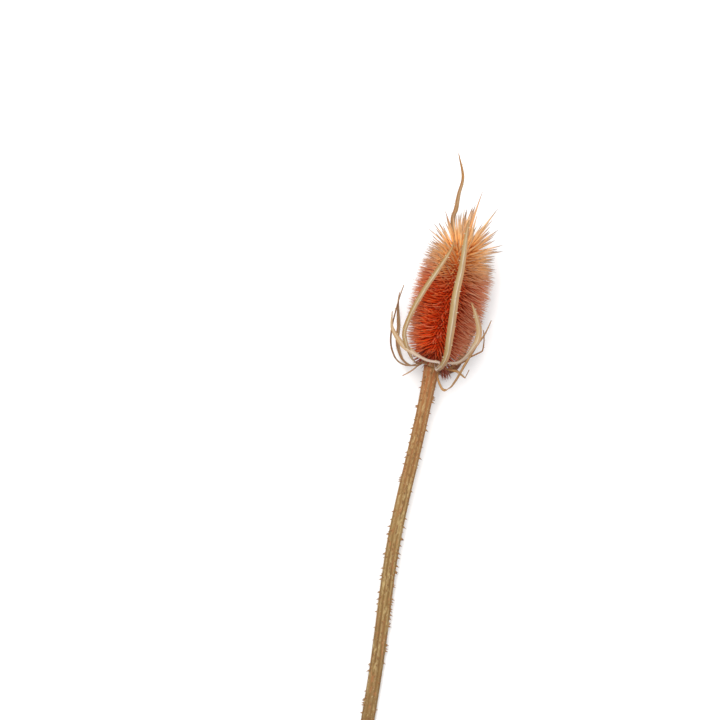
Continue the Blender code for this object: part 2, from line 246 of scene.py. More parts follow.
def finished(name, shape, material):
    """The shape as a piece of the plant, which rides with it."""
    bmesh.ops.recalc_face_normals(shape, faces=shape.faces)
    mesh = bpy.data.meshes.new(name)
    shape.to_mesh(mesh)
    shape.free()
    mesh.materials.append(material)
    mesh.shade_smooth()
    piece = bpy.data.objects.new(name, mesh)
    bpy.context.scene.collection.objects.link(piece)
    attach(piece, "root")
    return piece


def stem_centre(y):
    """A point on the stem's midline, y from its cut end."""
    x = -BOW * exp(-(((y - BOW_PLACE) / BOW_LENGTH) ** 2))
    return CUT_END + Vector((x, y, STEM_RADIUS + STEM_RISE * (y / STEM_LENGTH) ** 2))


HEAD_TILT = radians(9)  # the head's axis rises by this from the table, and turns by the next to +X
HEAD_TURN = radians(4.1)
TURNED = Matrix.Rotation(-HEAD_TURN, 4, "Z") @ Matrix.Rotation(HEAD_TILT - pi / 2, 4, "X")
HEAD = Matrix.Translation(stem_centre(STEM_LENGTH)) @ TURNED


def stem_radius(y, angle):
    """Radius of the stem on its ribs and between them, with the flare under the head."""
    flare = max(0.0, 1 - (STEM_LENGTH - y) / STEM_FLARE_LENGTH)
    return STEM_RADIUS + STEM_FLARE * flare**2 - RIB_HEIGHT * sin(STEM_RIBS * angle / 2) ** 2


def stem_frame(y):
    """Midline point and the two directions across the stem there."""
    step = 1e-4
    along = (stem_centre(y + step) - stem_centre(y - step)).normalized()
    if y >= STEM_LENGTH - step:
        along = HEAD.to_3x3().col[2].copy()
    if y <= step:
        along = Vector((0, 1, 0))
    side = along.cross(Vector((0, 0, 1))).normalized()
    return stem_centre(y), side, side.cross(along)


def on_stem(y, angle, out=0.0):
    """A point on the stem's surface, or that far outside it."""
    centre, side, up = stem_frame(y)
    return centre + (stem_radius(y, angle) + out) * (cos(angle) * side + sin(angle) * up)


stalk = unit_rod(STEM_SIDES, STEM_RINGS)
skin = stalk.verts.layers.float_vector.new("skin")
rib = number_layer(stalk, "rib")
for vert in stalk.verts:
    angle = atan2(vert.co.y, vert.co.x)
    y = vert.co.z * STEM_LENGTH
    vert[skin] = (cos(angle) * STEM_RADIUS, sin(angle) * STEM_RADIUS, y)
    vert[rib] = cos(STEM_RIBS * angle / 2) ** 2
    wander = noise.noise((3 * cos(angle), 3 * sin(angle), y * 40))
    fibre = FIBRE_HEIGHT * cos(FIBRES * angle + 2.5 * wander) + FIBRE_WANDER * wander
    vert.co = on_stem(y, angle, fibre - FIBRE_HEIGHT)
    vert.co.z = max(vert.co.z, 0.0)
bmesh.ops.recalc_face_normals(stalk, faces=stalk.faces)
cut_face = min(stalk.faces, key=lambda face: face.calc_center_median().y)
bmesh.ops.inset_region(stalk, faces=[cut_face], thickness=WALL_THICKNESS, depth=0.0)
bmesh.ops.inset_region(stalk, faces=[cut_face], thickness=PITH_STEP, depth=-PITH_DEPTH)
bmesh.ops.inset_region(stalk, faces=[cut_face], thickness=PITH_WALL, depth=-PITH_DEPTH / 2)
pith = number_layer(stalk, "pith")
cut_centre = stem_centre(0)
for vert in stalk.verts:
    near_cut = vert.co.y < cut_centre.y + 2 * PITH_DEPTH
    inside = sqrt((vert.co.x - cut_centre.x) ** 2 + (vert.co.z - cut_centre.z) ** 2)
    if near_cut and inside < STEM_RADIUS - RIB_HEIGHT - WALL_THICKNESS / 2:
        vert[pith] = 1
        vert[skin] = vert.co - cut_centre

stalk_finish, shader, start = finish("dry ribbed stalk", 0.72, 0.25)
place = start.attribute("skin", "Vector")
streak = place.stretched(1, 1, 0.035).noise(900, 4, 0.65)
wide_streak = place.stretched(1, 1, 0.06).noise(300, 3, 0.6)
blotch = place.noise(60, 3, 0.6)
crest = start.attribute("rib")
straw = (streak * 0.55 + wide_streak * 0.55 + crest * 0.35 - 0.22).ramp(
    (0.25, STALK_COLOURS[0]), (0.5, STALK_COLOURS[1]), (0.78, STALK_COLOURS[2])
)
height = place.node("ShaderNodeSeparateXYZ", {"Vector": place}, output=2)
dyed = height.between(0.10, 0.20) * 0.55 + height.between(0.175, 0.195) * 0.35
weathered = (height.between(0.08, 0.0) * 0.6).mixed(straw, STALK_COLOURS[0])
dye = (dyed * (0.55 + blotch * 0.9) * (1.25 - crest * 0.6)).clamped()
coloured = dye.mixed(weathered, DYED_STALK)
mottled = place.stretched(1, 1, 0.3).noise(520, 3, 0.6)
coloured = (mottled.between(0.56, 0.68) * 0.55).mixed(coloured, RUSTY_PATCH)
coloured = (mottled.between(0.42, 0.32) * 0.6).mixed(coloured, PALE_PATCH)
speck = place.stretched(1, 1, 0.4).noise(2200, 2, 0.5)
coloured = (speck.between(0.60, 0.70) * 0.65).mixed(coloured, DARK_SPECK)
coloured = (speck.between(0.36, 0.28) * 0.5).mixed(coloured, PALE_SPECK)
spongy = place.noise(1600, 3, 0.6).mixed(*PITH_COLOURS)
coloured = start.attribute("pith").between(0.5, 1.0).mixed(coloured, spongy)
join(shader, "Base Color", coloured)
join(shader, "Roughness", 0.6 + streak * 0.25)
add_bump(shader, start, streak + wide_streak * 0.6, STALK_RELIEF)
stem_piece = finished("stem_stalk", stalk, stalk_finish)
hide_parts("stem")

# Prickles of the stem: short stiff hooks in rows along the ribs, grown from the skin. They point a little
# back towards the cut end and are thickest under the head. The table presses off those underneath.
STEM_PRICKLES = 400
PRICKLE_LENGTH = 0.0014
PRICKLE_LENGTHS = (0.45, 0.7, 0.9, 1.0, 1.15)  # shares of that length, to draw from
PRICKLE_BASE = 0.00052
PRICKLE_SINK = 0.0003
PRICKLE_SIDES = 5
PRICKLE_RINGS = 3
PRICKLE_START = 0.002  # below the head
PRICKLED_SHARE = 0.985  # of the stem's length
PRICKLE_CROWDING = 1.2  # above 1 they crowd towards the head
PRICKLE_HOOK = -0.4  # how far a tip leans along the stem, as a share of its length; below 0 to the cut end
PRICKLE_HOOK_SPREAD = 0.25
PRICKLE_ASTRAY = 0.08  # as a share of the distance between two ribs
PRICKLE_SEED = 11
TABLE_MARGIN = 0.0003
BROWN_PRICKLE = (0.30, 0.13, 0.05, 1)


def grow(shape, spike, point_at, layers=()):
    """Adds a copy of the spike and moves each of its points from its unit place to its real one."""
    count = len(shape.verts)
    shape.from_mesh(spike)
    shape.verts.ensure_lookup_table()
    for vert in shape.verts[count:]:
        x, y, z = vert.co
        for layer, value in layers:
            vert[layer] = z if value is None else value
        vert.co = point_at(x, y, z)


prickles = bmesh.new()
along_layer = number_layer(prickles, "along")
tone_layer = number_layer(prickles, "tone")
spike = unit_spike(PRICKLE_SIDES, PRICKLE_RINGS)
draw = random.Random(PRICKLE_SEED)
for i in range(STEM_PRICKLES):
    down = ((i + draw.random()) / STEM_PRICKLES) ** PRICKLE_CROWDING
    y = STEM_LENGTH * (1 - PRICKLED_SHARE * down) - PRICKLE_START
    angle = tau * (draw.randrange(STEM_RIBS) + draw.uniform(-PRICKLE_ASTRAY, PRICKLE_ASTRAY)) / STEM_RIBS
    length = PRICKLE_LENGTH * draw.choice(PRICKLE_LENGTHS)
    base = PRICKLE_BASE * (0.5 + 0.5 * length / PRICKLE_LENGTH)
    centre, side, up = stem_frame(y)
    outward = cos(angle) * side + sin(angle) * up
    around = cos(angle) * up - sin(angle) * side
    back = PRICKLE_HOOK + draw.uniform(-PRICKLE_HOOK_SPREAD, PRICKLE_HOOK_SPREAD)
    root = on_stem(y, angle, -PRICKLE_SINK)
    if (root + outward * (length + base)).z < TABLE_MARGIN:
        continue

    def hook(u, v, t):
        """The prickle's shape: a flattened foot that narrows at once into a bent point."""
        wide = base * (1 - t) ** 1.3
        shift = Vector((0, length * back * t**1.5 + wide * 1.3 * v, 0))
        point = root + outward * (length + PRICKLE_SINK) * t + around * wide * 0.8 * u + shift
        point.z = max(point.z, 0.0)
        return point

    grow(prickles, spike, hook, ((along_layer, None), (tone_layer, draw.random())))

prickle_finish, shader, start = finish("dry prickles", 0.6)
share = start.attribute("along")
pale = share.ramp(
    (0.0, (0.36, 0.20, 0.08, 1)), (0.30, (0.34, 0.17, 0.06, 1)), (0.8, (0.12, 0.055, 0.025, 1))
)
shade = start.attribute("tone")
join(shader, "Base Color", (shade * 0.5).mixed(pale, BROWN_PRICKLE))
join(shader, "Roughness", 0.5 + shade * 0.2)
finished("stem_prickles", prickles, prickle_finish)

# Involucre: the swollen ring at the top of the stem and its twelve long bracts, which are narrow, stiff and
# dried leaves. Each is folded lightly along its pale mid-rib, and curves out and up round the head.
GAP = 0.0003
COLLAR_HEIGHT = 0.0032
COLLAR_RADII = (0.0040, 0.0058)
COLLAR_SIDES = 48
COLLAR_RINGS = 6
COLLAR_LOBES = 10
LOBE_DEPTH = 0.05  # as a share of the radius
# The collar takes a brown bract's root colours, which include painted shade under the head.
COLLAR_SHARE = 0.02  # the collar has the colours of a brown bract at its root
COLLAR_BROWN = 0.6
BRACT_WIDTH = 0.0033
BRACT_ROOT_WIDTH = 0.0010
BRACT_TIP_WIDTH = 0.0005
BRACT_THICKNESS = 0.26
BRACT_LEAST_THICKNESS = 0.0004
BRACT_STEP = 0.0010
BRACT_LIFT = 0.0006
BRACT_ROOT_FADE = 22
BRACT_ROOT_SHARE = 0.5
BRACT_WIDEST = 0.4
BRACT_TAPER = (4.5, 0.8)
BRACT_FLAT = 0.65  # where its twist is that of its tip
MID_RIB_WIDTH = 0.20  # this and the next are shares of the bract's half width and width
EDGE_CURL = 0.16
EDGE_RIPPLE = 0.07
LEAF_STOPS = (
    (0.12, (0.26, 0.135, 0.052, 1)), (0.38, (0.37, 0.235, 0.105, 1)), (0.60, (0.45, 0.32, 0.18, 1)),
    (0.85, (0.60, 0.49, 0.35, 1)),
)
TANNED_STOPS = (
    (0.12, (0.19, 0.080, 0.020, 1)), (0.50, (0.29, 0.155, 0.056, 1)), (0.85, (0.39, 0.25, 0.12, 1)),
)
DRIED_STOPS = (
    (0.15, (0.22, 0.085, 0.020, 1)), (0.55, (0.40, 0.19, 0.055, 1)), (0.9, (0.52, 0.31, 0.13, 1)),
)
BLEACHED_STOPS = ((0.2, (0.40, 0.29, 0.22, 1)), (0.7, (0.76, 0.67, 0.60, 1)))
# Across the bract: the stops before the mid-rib are painted lighter and the one after it greyer, as painted
# light and shade on its two sides. The mid-rib's pale stop is partly its own paler colour and partly a
# painted highlight.
BAND_STOPS = (
    (0.08, (0.34, 0.18, 0.055, 1)), (0.30, (0.33, 0.245, 0.105, 1)), (0.46, (0.34, 0.26, 0.12, 1)),
    (0.54, (0.68, 0.58, 0.44, 1)), (0.63, (0.25, 0.19, 0.130, 1)), (0.93, (0.46, 0.25, 0.120, 1)),
)  # across the bract, with its pale mid-rib at the fourth stop
LEAF_RELIEF = 0.00022
WARM_BRACT = (0.58, 0.33, 0.18, 1)
PAINTED_SHADE_BRACT = (0.19, 0.075, 0.030, 1)
# A bract's root colours: partly a browner root and partly painted shade under the head.
ROOT_TAN_AND_SHADE = ((0.36, 0.165, 0.062, 1), (0.15, 0.035, 0.016, 1))
BROWN_THORN = (0.45, 0.24, 0.10, 1)
# Each bract has its share of the full width, how brown it has dried (below 0 it is bleached, and above 0.85
# it is also painted dark as shade), its twist at root and tip in degrees, and stations on its midline. They
# give the angle round the head's axis in degrees (0 to +X, 90 away from the table), the distance from that
# axis and the distance along it.
BRACTS = {
    "front": (1.2, 0.0, (0, 0), [
        (76, 0.0045, 0.0018), (79, 0.0105, 0.0012), (79, 0.0165, 0.0026), (78, 0.0212, 0.0066),
        (78, 0.0234, 0.0120), (82, 0.0242, 0.0265), (86, 0.0241, 0.0420), (87, 0.0238, 0.0550),
        (91, 0.0235, 0.0700), (93, 0.0233, 0.0780),
    ]),
    "front_left": (1.0, 0.15, (0, 0), [
        (136, 0.0045, 0.0018), (132, 0.0105, 0.0012), (128, 0.0165, 0.0028), (127, 0.0210, 0.0064),
        (131, 0.0236, 0.0106), (136, 0.0245, 0.0155), (135, 0.0245, 0.0223), (130, 0.0241, 0.0319),
        (122, 0.0240, 0.0416), (114, 0.0238, 0.0503), (105, 0.0235, 0.0615), (104, 0.0233, 0.0665),
    ]),
    "left": (0.95, -0.5, (90, 20), [
        (84, 0.0045, 0.0018), (82, 0.0110, 0.0010), (81, 0.0162, 0.0030), (83, 0.0190, 0.0054),
        (101, 0.0205, 0.0053), (117, 0.0215, 0.0065), (135, 0.0230, 0.0089), (149, 0.0242, 0.0120),
        (159, 0.0261, 0.0160), (163, 0.0275, 0.0235),
    ]),
    "right": (1.05, -0.3, (55, -45), [
        (68, 0.0045, 0.0018), (70, 0.0110, 0.0014), (72, 0.0165, 0.0040), (70, 0.0198, 0.0066),
        (60, 0.0212, 0.0079), (53, 0.0223, 0.0106), (44, 0.0233, 0.0174), (41, 0.0239, 0.0213),
        (44, 0.0239, 0.0270), (55, 0.0237, 0.0340), (64, 0.0234, 0.0389),
    ]),
    "hooked": (0.60, 0.8, (0, 0), [
        (42, 0.0045, 0.0012), (56, 0.0070, -0.0036), (45, 0.0112, -0.0086), (41, 0.0145, -0.0066),
        (42.5, 0.0178, -0.0001), (45, 0.0211, 0.0073), (38, 0.0229, 0.0174), (30, 0.0240, 0.0240),
        (24, 0.0246, 0.0313),
    ]),
    "stub": (0.45, 0.75, (0, 0), [
        (24, 0.0045, 0.0015), (20, 0.0085, 0.0010), (16, 0.0130, 0.0014), (14, 0.0174, -0.0005),
        (14, 0.0178, -0.0008), (12, 0.0187, 0.0036),
    ]),
    "short": (0.40, 0.6, (0, 0), [
        (150, 0.0045, 0.0016), (151, 0.0068, 0.0008), (150, 0.0110, -0.0035), (148, 0.0158, -0.0070),
    ]),
    "outer_right": (0.60, 0.8, (0, 0), [
        (0, 0.0045, 0.0018), (-4, 0.0100, 0.0025), (-7, 0.0145, 0.0055), (-8.5, 0.0174, 0.0089),
        (-9, 0.0222, 0.0128), (-9, 0.0228, 0.0135), (-10, 0.0224, 0.0186), (-14, 0.0212, 0.0235),
    ]),
    # This bract lies under the head's bristles. Its tone of 1.1 paints it dark as shade.
    "low_right": (0.85, 1.1, (0, 0), [
        (-50, 0.0045, 0.0018), (-51, 0.0115, -0.0025), (-52, 0.0185, -0.0012), (-52, 0.0222, 0.0040),
        (-52, 0.0234, 0.0090), (-50, 0.0236, 0.0150), (-45, 0.0238, 0.0210), (-38, 0.0240, 0.0265),
    ]),
    "tall": (0.95, 0.6, (0, 0), [
        (-68, 0.0045, 0.0018), (-63, 0.0105, -0.0028), (-58, 0.0165, -0.0015), (-54, 0.0212, 0.0035),
        (-54, 0.0232, 0.0100), (-56, 0.0240, 0.0200), (-60, 0.0240, 0.0320), (-68, 0.0240, 0.0430),
        (-86, 0.0232, 0.0545), (-103, 0.0224, 0.0640), (-112, 0.0210, 0.0729), (-113, 0.0195, 0.0780),
        (-117, 0.0180, 0.0860), (-120, 0.0168, 0.0950), (-136, 0.0188, 0.1060),
    ]),
    "low_left": (0.85, 0.35, (0, 0), [
        (222, 0.0045, 0.0018), (221, 0.0115, -0.0030), (222, 0.0190, -0.0025), (223, 0.0245, 0.0020),
        (223, 0.0272, 0.0070), (222, 0.0280, 0.0130), (216, 0.0278, 0.0190), (208, 0.0272, 0.0250),
        (201, 0.0268, 0.0310),
    ]),
    "back_left": (0.80, 0.3, (0, 0), [
        (180, 0.0045, 0.0018), (181, 0.0110, -0.0022), (182, 0.0175, -0.0015), (183, 0.0220, 0.0040),
        (181, 0.0240, 0.0110), (178, 0.0246, 0.0190), (174, 0.0246, 0.0290), (170, 0.0243, 0.0370),
    ]),
}


def spline(stations, step):
    """Points about a step apart on a Catmull-Rom curve through the stations."""
    root_tan_and_shade = [2 * stations[0] - stations[1], *stations, 2 * stations[-1] - stations[-2]]
    points = []
    for a, b, c, d in zip(root_tan_and_shade, root_tan_and_shade[1:], root_tan_and_shade[2:], root_tan_and_shade[3:]):
        count = max(1, round((c - b).length / step))
        for k in range(count):
            t = k / count
            point = 2 * b + (c - a) * t + (2 * a - 5 * b + 4 * c - d) * t**2
            points.append((point + (3 * b - a - 3 * c + d) * t**3) / 2)
    return [*points, stations[-1]]


def bract_midline(stations):
    """The bract's midline in the head's frame."""
    placed = [
        Vector((r * cos(radians(angle)), -r * sin(radians(angle)), along)) for angle, r, along in stations
    ]
    return spline(placed, BRACT_STEP)


def bract_sections(midline, full_width, twist):
    """For each point of the midline: the point, the ways across and out, the width and the share along."""
    sections = []
    last = len(midline) - 1
    across = Vector((-midline[0].y, midline[0].x, 0)).normalized()
    for i, here in enumerate(midline):
        along = (midline[min(i + 2, last)] - midline[max(i - 2, 0)]).normalized()
        aside = along.cross(Vector((here.x, here.y, 0)).normalized())
        across = across + (aside if aside.dot(across) > 0 else -aside)
        across = (across - along * across.dot(along)).normalized()
        share = i / last
        taper = (1 - share ** BRACT_TAPER[0]) ** BRACT_TAPER[1]
        width = BRACT_TIP_WIDTH + (full_width - BRACT_TIP_WIDTH) * taper
        width *= BRACT_ROOT_SHARE + (1 - BRACT_ROOT_SHARE) * min(1.0, share / BRACT_WIDEST)
        width += BRACT_ROOT_WIDTH * exp(-share * BRACT_ROOT_FADE)
        eased = min(1.0, share / BRACT_FLAT) ** 4
        turn = Matrix.Rotation(radians(twist[0] * (1 - eased) + twist[1] * eased), 3, along)
        twisted = turn @ across
        sections.append((here, twisted, twisted.cross(along), width, share))
    return sections


def in_row(point, height=0.0):
    """A point of the head's frame in the plant's, lifted to that height over the table where it is lower."""
    world = HEAD @ point
    world.z = max(world.z, height)
    return world


blades = bmesh.new()
share_layer = number_layer(blades, "along")
across_layer = number_layer(blades, "across")
brown_layer = number_layer(blades, "tone")
skin_layer = blades.verts.layers.float_vector.new("skin")
thorns = bmesh.new()
thorn_along = number_layer(thorns, "along")
thorn_tone = number_layer(thorns, "tone")
draw = random.Random(PRICKLE_SEED + 1)
bract_points = []
BRACT_SIDES = 18
BROWN_BRACT = 0.2  # the bristles at the foot of the head hang over the roots of bracts browner than this
BROWN_BRACT_ROOT = 0.3
THORN_PITCH = 0.0048
THORN_LENGTH = 0.0012
THORN_FOOT = PRICKLE_BASE * 0.50
THORN_SINK = 0.0002
THORN_MARGIN = 0.0004  # least height of a tip over the table
THORN_LENGTHS = (0.5, 1.1)  # shares of that length, to draw between
THORN_PLACE = 0.42  # how far from the bract's middle the edges' thorns stand, as a share of its width
# The next three are for the mid-rib and for the edges: how far out the thorns root, as a share of the bract's
# width, how steeply they point outwards, and the share of them that is missing.
THORN_ROOTS = (0.12, 0.10)
THORN_SLOPES = (1.0, 0.35)
MISSING_THORNS = (0.25, 0.45)
for bract_number, (width_share, brown_and_shade, twist, stations) in enumerate(BRACTS.values()):
    midline = bract_midline(stations)
    sections = bract_sections(midline, BRACT_WIDTH * width_share, twist)
    bare_root = BROWN_BRACT_ROOT if brown_and_shade > BROWN_BRACT else 0.0
    bract_points.extend((section[0], section[3] / 2) for section in sections if section[4] >= bare_root)
    rings = len(sections) - 1
    blade = unit_rod(BRACT_SIDES, rings)
    blade_mesh = bpy.data.meshes.new("blade to copy")
    blade.to_mesh(blade_mesh)
    blade.free()

    def on_blade(u, v, t):
        """A leaf's section: thin edges that curl outwards, and a raised mid-rib between two grooves."""
        here, across, out, width, share = sections[round(t * rings)]
        thick = max(width * BRACT_THICKNESS, BRACT_LEAST_THICKNESS)
        ripple = noise.noise((bract_number * 7.0, share * 30, 3 * u)) * EDGE_RIPPLE
        mid_rib = exp(-((u / MID_RIB_WIDTH) ** 2))
        body = v * thick * 0.5 * (0.55 - 0.25 * abs(u) + 0.55 * mid_rib)
        curl = width * (EDGE_CURL * abs(u) ** 2.2 + ripple * abs(u))
        offset = across * u * width / 2 + out * (body + curl)
        world = in_row(here, BRACT_LIFT) + HEAD.to_3x3() @ offset
        world.z = max(world.z, 0.0)
        return world

    start_vert = len(blades.verts)
    blades.from_mesh(blade_mesh)
    blades.verts.ensure_lookup_table()
    for vert in blades.verts[start_vert:]:
        u, v, t = vert.co
        vert[share_layer] = t
        vert[across_layer] = u
        vert[brown_layer] = brown_and_shade
        vert[skin_layer] = (u * BRACT_WIDTH / 2, bract_number + 0.0004 * v, t * rings * BRACT_STEP)
        vert.co = on_blade(u, v, t)
    bpy.data.meshes.remove(blade_mesh)

    count = round(rings * BRACT_STEP / THORN_PITCH)
    for i in range(2, count):
        for edge in (-1, 1, 0):
            if draw.random() < MISSING_THORNS[abs(edge)]:
                continue
            k = min(rings - 3, round((i + draw.uniform(-0.4, 0.4)) * rings / count))
            here, across, out, width, share = sections[k]
            forward = (midline[k + 1] - midline[k - 1]).normalized()
            sideways = (across * edge + out * THORN_SLOPES[abs(edge)]).normalized()
            root = here + across * edge * width * THORN_PLACE + out * width * THORN_ROOTS[abs(edge)]
            length = THORN_LENGTH * draw.uniform(*THORN_LENGTHS) * (0.6 + 0.4 * width_share)
            if in_row(root + sideways * length).z < THORN_MARGIN:
                continue

            def thorn(u, v, t):
                """A straight prickle with a foot drawn out along the bract."""
                wide = THORN_FOOT * (1 - t) ** 1.2
                lean = forward * (wide * 1.5 * v + length * 0.25 * t)
                beside = forward.cross(sideways) * wide * 0.7 * u
                outward = sideways * (length * t - THORN_SINK * (1 - t))
                return in_row(root + outward + lean + beside)

            grow(thorns, spike, thorn, ((thorn_along, None), (thorn_tone, brown_and_shade)))

collar = unit_rod(COLLAR_SIDES, COLLAR_RINGS)
collar_share = number_layer(collar, "along")
number_layer(collar, "across")
collar_skin = collar.verts.layers.float_vector.new("skin")
collar_brown = number_layer(collar, "tone")
for vert in collar.verts:
    angle = atan2(vert.co.y, vert.co.x)
    t = vert.co.z
    r = COLLAR_RADII[0] + (COLLAR_RADII[1] - COLLAR_RADII[0]) * t**0.8
    r *= 1 + LOBE_DEPTH * cos(COLLAR_LOBES * angle)
    inner = sqrt(vert.co.x**2 + vert.co.y**2)
    vert[collar_share] = COLLAR_SHARE
    vert[collar_brown] = COLLAR_BROWN
    vert[collar_skin] = (angle * COLLAR_RADII[1], -1, t * COLLAR_HEIGHT)
    point = Vector((cos(angle) * r * inner, sin(angle) * r * inner, GAP + COLLAR_HEIGHT * t))
    vert.co = HEAD @ point
collar_mesh = bpy.data.meshes.new("collar to join")
collar.to_mesh(collar_mesh)
collar.free()
blades.from_mesh(collar_mesh)
bpy.data.meshes.remove(collar_mesh)

bract_finish, shader, start = finish("dry straw bracts", 0.62, 0.3)
share = start.attribute("along")
aside = start.attribute("across")
brown_and_shade = start.attribute("tone")
where = start.node("ShaderNodeTexCoord", output="Object")
skin = start.attribute("skin", "Vector")
grain = where.noise(1500, 4, 0.6)
streak = skin.stretched(1, 1, 0.05).noise(2200, 3, 0.6)
cloud = where.noise(110, 3, 0.6)
middle = 1 - aside.math("ABSOLUTE", aside)
# Painted light: the middle is lighter, partly the mid-rib's own paler colour and partly a painted highlight.
# The side where across is above 0 is painted darker as shade.
pattern = middle * 0.55 + streak * 0.6 + grain * 0.25 - 0.22 + aside * -0.12
coloured = (share.between(0.75, 0.10) * 0.9).mixed(pattern.ramp(*LEAF_STOPS), pattern.ramp(*TANNED_STOPS))
band = (aside * 0.5 + 0.5 + (streak - 0.5) * 0.30 + (cloud - 0.5) * 0.25).ramp(*BAND_STOPS)
banded = (0.60 + (grain - 0.5) * 0.5) * brown_and_shade.between(-0.9, -0.1)
coloured = banded.clamped().mixed(coloured, band)
coloured = (brown_and_shade.between(0.0, -0.3) * 0.22).mixed(coloured, WARM_BRACT)
bleached = (brown_and_shade * -1.6 * share.between(0.75, 0.30)).clamped()
coloured = bleached.mixed(coloured, pattern.ramp(*BLEACHED_STOPS))
dryness = (brown_and_shade + (cloud - 0.5) * 0.8 + share.between(0.84, 1.0) * 0.8).clamped()
coloured = dryness.mixed(coloured, pattern.ramp(*DRIED_STOPS))
# Painted shade: a bract with tone above 0.85, the low one under the head's bristles, is painted dark.
coloured = brown_and_shade.between(0.85, 1.05).mixed(coloured, PAINTED_SHADE_BRACT)
# Painted shade: the root under the head is darkened. This is partly a browner root and partly painted shade,
# deep red-brown for the browner bracts.
root_tan_and_shade = (share.between(0.14, 0.0) * 0.6 * (0.4 + cloud)).clamped()
coloured = root_tan_and_shade.mixed(coloured, brown_and_shade.between(0.3, 0.8).mixed(*ROOT_TAN_AND_SHADE))
join(shader, "Base Color", coloured)
join(shader, "Roughness", 0.5 + grain * 0.25)
add_bump(shader, start, streak + grain * 0.5, LEAF_RELIEF)
bract_piece = finished("involucre_bracts", blades, bract_finish)
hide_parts("involucre")

thorn_finish, shader, start = finish("bract prickles", 0.55)
share = start.attribute("along")
shade = start.attribute("tone")
pale = share.ramp((0.0, (0.52, 0.40, 0.23, 1)), (0.6, (0.66, 0.55, 0.40, 1)), (1.0, (0.36, 0.20, 0.09, 1)))
join(shader, "Base Color", (shade * 0.6).mixed(pale, BROWN_THORN))
finished("bract_prickles", thorns, thorn_finish)

# Core of the head: the cone that the bristles grow on, hidden by them but for dark red glimpses in between.
# It is one dried body, pitted where each bristle and its seed case sit.
CORE_RADIUS = 0.0108
CORE_WIDEST = 0.034
CORE_HALF_LENGTHS = (0.036, 0.028)
CORE_LENGTH = CORE_WIDEST + CORE_HALF_LENGTHS[1]
CORE_POWER = 2.4
CORE_SIDES = 72
CORE_RINGS = 70
CORE_BASE = GAP + COLLAR_HEIGHT + GAP
CORE_INSET = 0.0002  # under the outline that the bristles grow from
PIT_DEPTH = 0.0003
PIT_RELIEF = 0.0004
DEEP_RED_STOPS = ((0.1, (0.26, 0.018, 0.003, 1)), (0.9, (0.55, 0.060, 0.010, 1)))
CROWN_ORANGE = (0.80, 0.30, 0.070, 1)


def core_radius(along):
    """Radius of the core, along from its base."""
    above = along > CORE_WIDEST
    share = abs(along - CORE_WIDEST) / CORE_HALF_LENGTHS[above]
    return CORE_RADIUS * sqrt(max(0.0, 1 - share**CORE_POWER))


core = unit_rod(CORE_SIDES, CORE_RINGS)
height_layer = number_layer(core, "height")
for vert in core.verts:
    angle = atan2(vert.co.y, vert.co.x)
    t = (1 - cos(pi * vert.co.z)) / 2
    vert[height_layer] = t
    pit = noise.noise((6 * cos(angle), 6 * sin(angle), 40 * t)) * PIT_DEPTH
    r = max(0.0, core_radius(t * CORE_LENGTH) - CORE_INSET + pit)
    vert.co = HEAD @ Vector((cos(angle) * r, sin(angle) * r, CORE_BASE + t * CORE_LENGTH))
bmesh.ops.remove_doubles(core, verts=core.verts, dist=0.00002)

core_finish, shader, start = finish("dark red core", 0.85, 0.1)
where = start.node("ShaderNodeTexCoord", output="Object")
cell = where.node("ShaderNodeTexVoronoi", {"Vector": where, "Scale": 900.0})
deep = (cell * 1.4 + where.noise(300) * 0.5 - 0.2).ramp(*DEEP_RED_STOPS)
deep = start.attribute("height").between(0.74, 0.92).mixed(deep, CROWN_ORANGE)
join(shader, "Base Color", deep)
add_bump(shader, start, cell, PIT_RELIEF)
core_piece = finished("head_core", core, core_finish)
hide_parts("seed_head")

# Bristles: each is one stiff, dry, keeled bract of the head, broad and boat-shaped at its foot and drawn out
# into a needle. They grow in golden-angle spirals, dyed deep red at the foot and paler to the tip.
BRISTLES = 2300
BRISTLE_SEED = 5
GOLDEN_ANGLE = pi * (3 - sqrt(5))
BRISTLE_SIDES = 4
BRISTLE_RINGS = 6
BRISTLE_FOOT = 0.00068
FOOT_REACH = (0.55, 0.30)  # the share of a bristle that its foot takes, and how much more in the crown
BRISTLE_NEEDLE = 0.00021
BRISTLE_KEEL = 0.00016
BRISTLE_SINK = 0.0006
BRISTLE_LENGTH = (0.0084, 0.0097)
LENGTH_RISE = 2.5  # they grow from the first of these to the second over 1 / 2.5 of the core's length
LENGTH_SPREAD = (0.84, 1.05)
BRISTLE_CURL = radians(13)
BRISTLE_LEAN = radians(104)
LEAN_POWERS = (8, 0.8)
LEAN_SPREAD = (3.5, 5.0)  # in degrees: everywhere, and more on the side away from the table
SIDEWAYS_SPREAD = (0.07, 0.16)  # the same, as a slope
FACING_LEAN = radians(17)
TUFT_LEAN = radians(9)
TUFT_SIDEWAYS = 0.30
TUFT_SCALE = 130
TUFT_HEIGHT = 2.2
TUFT_SHIFT = Vector((9, 0, 0))
SKIRT_LEAN = radians(50)  # how much further the lowest bristles lean back, and how fast that ends
SKIRT_END = 13
BRACT_CLEARANCE = 0.0005
SHORTENED = (1.0, 0.85, 0.7)  # a bristle that meets a bract or leaves the crown's outline is cut to these
# The crown: where it starts, how its bristles grow longer and fewer, and the outline that it stays in, which
# narrows from that foot up, from that radius and by that much per metre.
CROWN_START = 0.84
CROWN_POWER = 1.8
CROWN_EXTRA = 0.0210
LEAST_EXTRA = 0.3  # the share of that which the shortest of them have
EXTRA_POWER = 1.8  # above 1 more of them are short than long
CROWN_THICKENING = (0.7, 2.0)  # how much thicker they get at the foot and further out
CROWN_THINNING = 0.60
CROWN_FOOT = 0.070
CROWN_RADIUS = 0.0180
CROWN_NARROWING = 0.28
# The tuft that is pressed down over the collar, with its ranges in degrees and metres.
HANGING_BRISTLES = 120
HANGING_ROOTS = (0.75, 0.95)
HANGING_ANGLES = (18, 70)
HANGING_LEANS = (130, 168)
HANGING_LENGTHS = (0.0070, 0.0115)
HANGING_SPREAD = 0.15
